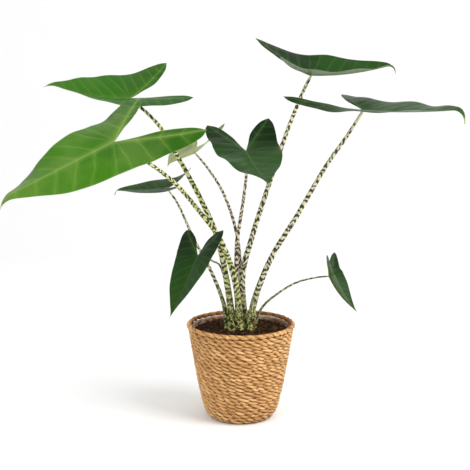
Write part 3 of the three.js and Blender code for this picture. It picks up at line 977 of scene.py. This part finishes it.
class ALOCASIA_OT_sheath(bpy.types.Operator):
    """Wrap the old papery sheath round the foot of the outer stem"""

    bl_idname = "alocasia.sheath"
    bl_label = "Dried sheath"

    def execute(self, context):
        low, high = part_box("dried_sheath")
        foot = low.z - 2 * MM
        route = stem_route(PLANT["d"], STEM_STEPS)
        across, up = 26, 30
        ragged = smooth_noise(np.linspace(0, 1, across + 1), np.zeros(across + 1),
                              generator_for(4), (0.9, 0.3, 0.12), (1.0, 0.8, 0.6))
        points, marks = [], []
        for t in np.arange(up + 1) / up:
            for s, torn in zip(np.arange(across + 1) / across, abs(ragged)):
                top = high.z - (1 + 3.2 * torn + 9 * abs(s - 0.45)) * MM
                z = foot + (top - foot) * t
                x, y, _ = route[np.argmin(abs(route[:, 2] - z))]
                angle = SHEATH_FACING + (s - 0.5) * SHEATH_SWEEP * (1 - 0.25 * t)
                crease = 0.35 * math.sin(9 * angle + 4 * t) + 0.25 * math.sin(23 * angle)
                radius = (SHEATH_RADIUS + 0.5 * crease + 2.2 * t ** 2 * abs(2 * s - 1)) * MM
                points.append((x + radius * math.cos(angle), y + radius * math.sin(angle), z))
                marks.append((s, t, 0))
        mesh = mesh_of("old_sheath", points, band_faces(up, across + 1, closed=False),
                       material=papery_material(context.scene.alocasia_stem),
                       attributes={"mark": marks})
        sheath = place("old_sheath", mesh)
        thicken(sheath, PAPER_THICKNESS, 1)
        stand_for(sheath, "dried_leaf", "dried_sheath")
        return {"FINISHED"}


# ------------------------------------------------------------------ leaf blades
FRONT_ROWS = 72
LOBE_ROWS = 46
HALF_COLUMNS = 20
BEND_SAMPLES = 24
HOOK_START = 0.82  # share of the front length
TIP_CROWDING = 1.25  # rows lie closer together towards the tip
SHOULDER = 5 / 9  # how far along the margin the lobe begins
RIB_WIDTH = 1.6 * MM
FIRST_SIDE_VEIN = math.radians(60)


def spline(points, shares):
    """Points at these shares along an even Catmull-Rom curve."""
    points, shares = np.asarray(points, float), np.asarray(shares, float)
    last = len(points) - 1
    spot = shares * last
    k = np.minimum(spot.astype(int), last)
    t = (spot - k)[:, None]
    p0, p1 = points[np.maximum(k - 1, 0)], points[k]
    p2, p3 = points[np.minimum(k + 1, last)], points[np.minimum(k + 2, last)]
    v0, v1 = (p2 - p0) / 2, (p3 - p1) / 2
    return ((2 * p1 - 2 * p2 + v0 + v1) * t ** 3 + (-3 * p1 + 3 * p2 - 2 * v0 - v1) * t ** 2
            + v0 * t + p1)


def flat_rows(leaf):
    """Rows of flat points of the left half, from the tip to the stem and on to the lobe tip."""
    front, width, lobe = (leaf[k] * MM for k in ("front", "half_width", "lobe"))
    splay = math.radians(leaf["splay"])
    broad = leaf["lobe_breadth"] * width
    cos, sin = math.cos(splay), math.sin(splay)

    def on_lobe(along, across):
        return (-cos * lobe * along + sin * broad * across,
                sin * lobe * along + cos * broad * across)

    margin = [
        (front, 0), (0.91 * front, 0.08 * width), (0.75 * front, 0.33 * width),
        (0.53 * front, 0.65 * width), (0.27 * front, 0.9 * width), (0.02 * front, width),
        on_lobe(0.5, 1.1), on_lobe(0.74, 0.72), on_lobe(0.93, 0.34), on_lobe(1, 0),
    ]
    sinus = [(0, 0), on_lobe(0.22, -0.13), on_lobe(0.5, -0.32), on_lobe(0.82, -0.26),
             on_lobe(1, 0)]
    ahead = (np.arange(FRONT_ROWS + 1) / FRONT_ROWS) ** TIP_CROWDING
    behind = np.arange(1, LOBE_ROWS + 1) / LOBE_ROWS
    inner = np.vstack([
        np.column_stack([front * (1 - ahead), np.zeros_like(ahead)]), spline(sinus, behind)
    ])
    outer = spline(margin, np.concatenate([SHOULDER * ahead,
                                           SHOULDER + (1 - SHOULDER) * behind]))
    share = np.linspace(0, 1, HALF_COLUMNS + 1)[None, :, None]
    return inner[:, None] * (1 - share) + outer[:, None] * share


def vein_fields(leaf, flat, veins):
    """For flat points: a field that is whole on each side vein, distances to the midrib and
    to the lobe's rib (negative on its inner side), and how much the ribs have tapered."""
    front, width, lobe = (leaf[k] * MM for k in ("front", "half_width", "lobe"))
    splay = math.radians(leaf["splay"])
    x, y = flat[..., 0], flat[..., 1]
    along = -math.cos(splay) * x + math.sin(splay) * y
    across = math.sin(splay) * x + math.cos(splay) * y
    lean = 1 / math.tan(FIRST_SIDE_VEIN)
    ahead = veins * (x - y * lean) / front
    ahead = ahead - 0.5 * (y / width) ** 2 * np.clip(ahead, 0, 1)
    lobe_veins = veins * lobe / front
    behind = lobe_veins * (along - abs(across) * lean) / lobe
    behind = behind - 0.4 * (across / width) ** 2 * np.clip(behind, 0, 1)
    fan_end = math.pi - splay - FIRST_SIDE_VEIN
    fan = (np.arctan2(y, x) - FIRST_SIDE_VEIN) / (fan_end - FIRST_SIDE_VEIN)
    field = np.where(ahead >= 0, ahead, np.where(behind >= 0, -1 - behind, -np.clip(fan, 0, 1)))
    to_front = np.hypot(y, np.minimum(x, 0))
    to_lobe = np.hypot(across, np.minimum(along, 0)) * np.where(across < 0, -1, 1)
    taper = 1 - 0.75 * np.clip(np.maximum(x / front, along / lobe), 0, 1)
    return field, to_front, to_lobe, taper


def bent(leaf, flat, side):
    """Flat points of one half folded, arched and hooked; side is 1 left, -1 right."""
    front, width, lobe = (leaf[k] * MM for k in ("front", "half_width", "lobe"))
    half = 0 if side > 0 else 1
    x, y = flat[..., 0], flat[..., 1]

    def slope(at):
        behind = leaf["lift"][half] * np.minimum(-at / lobe, 1.3)
        along = np.minimum(at / front, 1)
        hooked = np.clip((along - HOOK_START) / (1 - HOOK_START), 0, 1)
        hooked = hooked * hooked * (3 - 2 * hooked)
        return np.radians(np.where(at < 0, behind, leaf["arch"] * along + leaf["hook"] * hooked))

    level, drop = np.zeros_like(x), np.zeros_like(x)
    for k in range(BEND_SAMPLES):
        angle = slope(x * (k + 0.5) / BEND_SAMPLES)
        level += x * np.cos(angle) / BEND_SAMPLES
        drop += x * np.sin(angle) / BEND_SAMPLES
    outward = np.minimum(y / width, 1.5) / 2
    forward = np.clip(x / front, 0, 1)
    rise = np.radians(leaf["fold"][half] + leaf["curl"] * outward - leaf["flatten"] * forward)
    lean = slope(x)
    up = y * np.sin(rise)
    return np.stack([level + up * np.sin(lean), y * np.cos(rise) * side,
                     up * np.cos(lean) - drop], -1)


# Slow waves of a blade's margin: half (0 left, 1 right), height in mm, where they start and
# how long they are, as shares of the front length.
WAVES = {
    "a": ((1, 9.0, 0.08, 0.92), (0, 1.5, 0.1, 0.6)),
    "b": ((0, 1.0, 0.2, 0.45), (1, 1.0, 0.0, 0.5)),
    "c": ((0, 2.0, 0.1, 0.6), (1, 2.0, 0.3, 0.5)),
    "d": ((0, 2.0, 0.2, 0.5), (1, 2.0, 0.0, 0.45)),
    "e": ((0, 2.0, 0.1, 0.55), (1, 3.0, 0.25, 0.45)),
}



def undulation(leaf, letter, rows, half):
    """How far each point of one half is moved up or down by the waves of its margin."""
    along = rows[..., 0] / (leaf["front"] * MM)
    ease = np.clip(np.minimum((0.95 - along) / 0.3, (along + 0.45) / 0.3), 0, 1)
    outward = np.linspace(0, 1, rows.shape[1])[None, :] ** 2
    lift = np.zeros(rows.shape[:2])
    for own_half, height, start, wavelength in WAVES.get(letter, ()):
        if own_half == half:
            wave = np.sin(TURN * (along - start) / wavelength)
            lift += height * MM * wave * ease * outward
    return lift


def leaf_mesh(letter, leaf, settings, generator, material):
    """A blade as one closed mesh: quilted above, ribbed below, thin at the margin."""
    rows = flat_rows(leaf)
    last, columns = len(rows) - 1, rows.shape[1]
    ids = np.zeros((2, last + 1, columns), int)
    points, marks = [], []
    for half, side in enumerate((1, -1)):
        at = bent(leaf, rows, side)
        at[..., 2] += undulation(leaf, letter, rows, half)
        fields = vein_fields(leaf, rows, settings.side_veins * generator.uniform(0.94, 1.06))
        fields += (rows[..., 0] / (leaf["front"] * MM),)
        for r, c in np.ndindex(last + 1, columns):
            if half and c == 0 and r <= FRONT_ROWS:
                ids[half, r, c] = ids[0, r, 0]  # the halves share the midrib
            elif c and r in (0, last):
                ids[half, r, c] = ids[half, r, 0]  # each row at a tip is one point
            else:
                ids[half, r, c] = len(points)
                points.append(at[r, c])
                edge = c / (columns - 1)
                edge = edge if r <= FRONT_ROWS else abs(2 * edge - 1)
                marks.append([kind[r, c] for kind in fields] + [edge])
    points = np.array(points)
    field, midrib, lobe_rib, taper, reach, edge = np.array(marks).T
    rib = np.minimum(midrib, abs(lobe_rib))
    faces = []
    for half, r, c in np.ndindex(2, last, columns - 1):
        corners = ids[half, r, c], ids[half, r, c + 1], ids[half, r + 1, c + 1], ids[half, r + 1, c]
        corners = list(dict.fromkeys(int(k) for k in corners))
        if len(corners) > 2:
            faces.append(corners[::-1] if half else corners)
    turn = Matrix.Identity(3)
    for kind, axis in (("heading", "Z"), ("pitch", "Y"), ("roll", "X")):
        turn = turn @ Matrix.Rotation(math.radians(leaf[kind]), 3, axis)
    points = points @ np.array(turn).T + np.array(leaf["at"]) * MM
    normals = vertex_normals(points, faces)
    wave = smooth_noise(points[:, 0], points[:, 1] + points[:, 2], generator,
                        (0.11, 0.05), (0.7, 0.35)) * MM * edge ** 2
    between = np.abs((field + 0.5) % 1 - 0.5) * 2
    ribness = np.exp(-((rib / (2.2 * RIB_WIDTH * taper)) ** 2))
    quilt = settings.quilting * (between ** 0.6 - 0.5) * (1 - edge ** 3) * (1 - ribness)
    middle = points + normals * (wave + quilt - 0.4 * MM * ribness * taper)[:, None]
    half_thick = settings.thickness / 2 * (1 - 0.55 * edge ** 4)
    top = middle + normals * half_thick[:, None]
    bottom = middle - normals * (half_thick + settings.rib * ribness * taper ** 1.5)[:, None]
    total = len(points)
    shell = [list(f) for f in faces] + [[k + total for k in f[::-1]] for f in faces]
    shell += border_faces(faces, total)
    width = RIB_WIDTH * taper
    marks = np.column_stack([field, midrib / width, edge])
    return mesh_of(
        f"blade_{letter}", np.vstack([top, bottom]), shell, material=material,
        attributes={
            "veins": np.vstack([marks, marks]),
            "lobe_rib": np.tile(lobe_rib / width, 2),
            "reach": np.tile(reach, 2),
            "under": np.repeat((0, 1), total),
        },
    )


def vertex_normals(points, faces):
    normals = np.zeros_like(points)
    for face in faces:
        a, b, c = points[face[0]], points[face[1]], points[face[2]]
        across = np.cross(b - a, c - a)
        if len(face) == 4:
            across = np.cross(c - a, points[face[3]] - b)
        normals[face] += across
    return normals / np.maximum(np.linalg.norm(normals, axis=1), 1e-12)[:, None]


def border_faces(faces, total):
    """Quads that join the open edges of a sheet to those of its copy."""
    edges = {(face[k - 1], face[k]) for face in faces for k in range(len(face))}
    return [[b, a, a + total, b + total] for a, b in sorted(edges) if (b, a) not in edges]


# Each look's name, its setting, and its colours: painted shade towards the lobes and in
# patches, painted sheen towards the tip, in clouds and along the midrib, veins, and underside.
# gloss is the weight of its waxy coat.
LEAF_LOOKS = {
    "a": dict(name="Large leaf", top="bright", painted_shade=linear(34, 82, 4),
              painted_sheen=linear(104, 132, 60), vein=linear(150, 182, 86),
              under=linear(92, 132, 44), gloss=0.04),
    "b": dict(name="Young leaf", top="young", painted_shade=linear(26, 70, 6),
              painted_sheen=linear(66, 104, 32), vein=linear(128, 164, 72),
              under=linear(80, 118, 44), gloss=0.04),
    "dark": dict(name="Dark leaf", top="dark", painted_shade=linear(5, 26, 2),
                 painted_sheen=linear(38, 70, 22), vein=linear(96, 126, 66),
                 under=linear(58, 88, 30), gloss=0.05),
    "f": dict(name="Pale leaf", top="pale", painted_shade=linear(110, 126, 70),
              painted_sheen=linear(150, 158, 110), vein=linear(182, 190, 136),
              under=linear(150, 160, 104), gloss=0.05),
}


def leaf_material(settings, name, top, painted_shade, painted_sheen, vein, under, gloss):
    """Painted shade towards the lobes, painted sheen towards the tip, with clouds of both between.
    """
    w = Look(name, 0.4, Specular_IOR_Level=0.1, Coat_Weight=gloss, Coat_Roughness=0.3)
    here = w.here()
    field, midrib, edge = w.split(w.mark("veins", "Vector"))[:3]
    reach = w.mark("reach")
    rib = w.math("MINIMUM", midrib, w.math("ABSOLUTE", w.mark("lobe_rib")))
    cloud = w.noise(here, 14.0, 3.0)
    fine = w.noise(here, 300.0, 3.0, 0.6)
    patch = w.noise(w.vector("ADD", here, (3.1, 1.7, 0.4)), 22.0)
    wander = w.times(w.minus(w.noise(here, 45.0, 1.0), 0.5), 0.22)
    near = w.math("PINGPONG", w.plus(field, wander), 0.5)
    halo = w.ramp(near, 0.0, 0.2, 1.0, 0.0)
    line = w.ramp(near, 0.0, 0.034, 1.0, 0.0)
    for fade in (w.ramp(edge, 0.45, 0.95, 1.0, 0.1), w.ramp(cloud, 0.3, 0.62, 0.35, 1.0),
                 w.ramp(reach, 0.15, 0.5, 1.0, 0.4)):
        line = w.times(line, fade)
    centre = w.ramp(rib, 0.35, 0.95, 1.0, 0.0)
    small = w.ramp(w.math("PINGPONG", w.times(field, 5.0), 0.5), 0.0, 0.14, 1.0, 0.0)
    base = w.coats(
        getattr(settings, top),
        # painted shade: darker towards the lobes and in patches
        (w.ramp(reach, 0.3, -0.25, 0.0, 0.85), painted_shade),
        (w.ramp(patch, 0.5, 0.72, 0.0, 0.5), painted_shade),
        # painted sheen: greyer in clouds, towards the tip, and in a broad band along the midrib
        # fold
        (w.ramp(cloud, 0.42, 0.66, 0.0, 0.3), painted_sheen),
        (w.ramp(reach, 0.3, 0.95, 0.0, 0.4), painted_sheen),
        (w.ramp(rib, 0.5, 8.0, 0.5, 0.0), painted_sheen),
        (w.times(halo, 0.08), vein),
        (w.times(small, 0.03), vein),
        (w.times(line, 0.14), vein),
        (w.times(centre, 0.3), vein),
        (w.ramp(edge, 0.965, 1.0, 0.0, 0.3), vein),
        (w.ramp(reach, 0.93, 1.0, 0.0, 0.75), linear(196, 208, 140)),
    )
    back = w.coats(under, (w.ramp(cloud, 0.3, 0.7, 0.0, 0.2), vein),
                   (w.times(line, 0.35), vein), (w.times(centre, 0.8), vein))
    height = w.plus(w.times(line, -0.6), w.times(fine, 0.35))
    height = w.minus(height, w.times(small, 0.15))
    return w.finish(w.coats(base, (w.mark("under"), back)), height, strength=0.5,
                    Roughness=w.ramp(fine, 0.3, 0.7, 0.32, 0.46))


class ALOCASIA_OT_leaves(bpy.types.Operator):
    """Grow the nine arrow-shaped leaf blades"""

    bl_idname = "alocasia.leaves"
    bl_label = "Leaves"

    def execute(self, context):
        settings = context.scene.alocasia_leaf
        looks = {key: leaf_material(settings, **look) for key, look in LEAF_LOOKS.items()}
        for number_, (letter, plant) in enumerate(PLANT.items()):
            slot = SLOT_OF_LEAF.get(letter, "dark_leaf")
            generator = generator_for(settings.seed + number_)
            look = looks.get(letter, looks["dark"])
            mesh = leaf_mesh(letter, plant, settings, generator, look)
            stand_for(place(f"blade_{letter}", mesh), slot, f"leaf_{letter}")
        return {"FINISHED"}


# ------------------------------------------------------------------ stage
FLOOR_GAP = 0.2 * MM  # the floor lies this far below the basket
CAMERA_PLACE = (-0.011, -1.766, 0.627)
CAMERA_TILT = math.radians(80.8)


class ALOCASIA_OT_stage(bpy.types.Operator):
    """Set a pale floor with a curved backdrop, soft light and the camera"""

    bl_idname = "alocasia.stage"
    bl_label = "Stage"

    def execute(self, context):
        stage = context.scene.alocasia_stage
        scene = context.scene
        wide, near, far, bend, tall = 7.0, -3.2, 3.2, 1.6, 4.5
        line = [(near, 0.0), (0.0, 0.0), (far - bend, 0.0)]
        line += [(far - bend + bend * math.sin(a), bend - bend * math.cos(a))
                 for a in np.linspace(0, math.pi / 2, 17)[1:]]
        line.append((far, tall))
        points = [(x, y, z - FLOOR_GAP) for y, z in line for x in (-wide, wide)]
        faces = band_faces(len(line) - 1, 2, closed=False)
        w = Look("Pale floor", 0.9)
        cloud = w.ramp(w.noise(w.here(), 3.0, 1.0), 0.2, 0.8)
        base = w.coats(stage.floor, (cloud, [0.99 * c for c in stage.floor]))
        floor = place("floor", mesh_of("floor", points, faces, material=w.finish(base)))

        world = bpy.data.worlds.new("Even light")
        world.use_nodes = True
        colour_, strength = world.node_tree.nodes["Background"].inputs[:2]
        colour_.default_value, strength.default_value = (1, 1, 1, 1), stage.sky
        scene.world = world
        scene.view_settings.view_transform = "Standard"

        for name, at, aim, size, power in (
            ("Key", (1.5, -0.9, 1.75), (0, 0, 0.3), 1.3, stage.key),
            ("Fill", (-1.6, -1.6, 1.4), (0, 0, 0.35), 1.6, stage.key * 0.35),
        ):
            data = bpy.data.lights.new(name, "AREA")
            data.shape, data.size, data.energy = "SQUARE", size, power
            light = bpy.data.objects.new(name, data)
            light.location = at
            light.rotation_euler = (Vector(aim) - Vector(at)).to_track_quat("-Z", "Y").to_euler()
            scene.collection.objects.link(light)

        data = bpy.data.cameras.new("Camera")
        data.lens, data.sensor_width = stage.lens, 36.0
        camera = bpy.data.objects.new("Camera", data)
        camera.location = CAMERA_PLACE
        camera.rotation_euler = (CAMERA_TILT, 0, 0)
        scene.collection.objects.link(camera)
        scene.camera = camera
        return {"FINISHED"}


# ------------------------------------------------------------------ add-on
PIECES = (
    ALOCASIA_OT_basket, ALOCASIA_OT_liner, ALOCASIA_OT_soil, ALOCASIA_OT_stems,
    ALOCASIA_OT_sheath, ALOCASIA_OT_leaves, ALOCASIA_OT_stage,
)
SETTINGS = {
    "alocasia_basket": BasketSettings, "alocasia_liner": LinerSettings,
    "alocasia_soil": SoilSettings, "alocasia_stem": StemSettings,
    "alocasia_leaf": LeafSettings, "alocasia_stage": StageSettings,
}


class ALOCASIA_PT_panel(bpy.types.Panel):
    """Sizes, colours and pieces of the potted alocasia"""

    bl_idname = "ALOCASIA_PT_panel"
    bl_label = "Potted Alocasia"
    bl_space_type = "VIEW_3D"
    bl_region_type = "UI"
    bl_category = "Alocasia"

    def draw(self, context):
        for attribute, settings in SETTINGS.items():
            box = self.layout.box()
            box.label(text=attribute.split("_")[1].capitalize())
            for label in settings.__annotations__:
                box.prop(getattr(context.scene, attribute), label)
        for operator in PIECES:
            self.layout.operator(operator.bl_idname)


def register():
    for made in (*SETTINGS.values(), *PIECES, ALOCASIA_PT_panel):
        bpy.utils.register_class(made)
    for attribute, settings in SETTINGS.items():
        setattr(bpy.types.Scene, attribute, bpy.props.PointerProperty(type=settings))


def unregister():
    for attribute in SETTINGS:
        delattr(bpy.types.Scene, attribute)
    for made in (ALOCASIA_PT_panel, *reversed(PIECES), *reversed(SETTINGS.values())):
        bpy.utils.unregister_class(made)


def main():
    register()
    for operator in PIECES:
        group, name = operator.bl_idname.split(".")
        getattr(getattr(bpy.ops, group), name)()


if __name__ == "__main__":
    main()
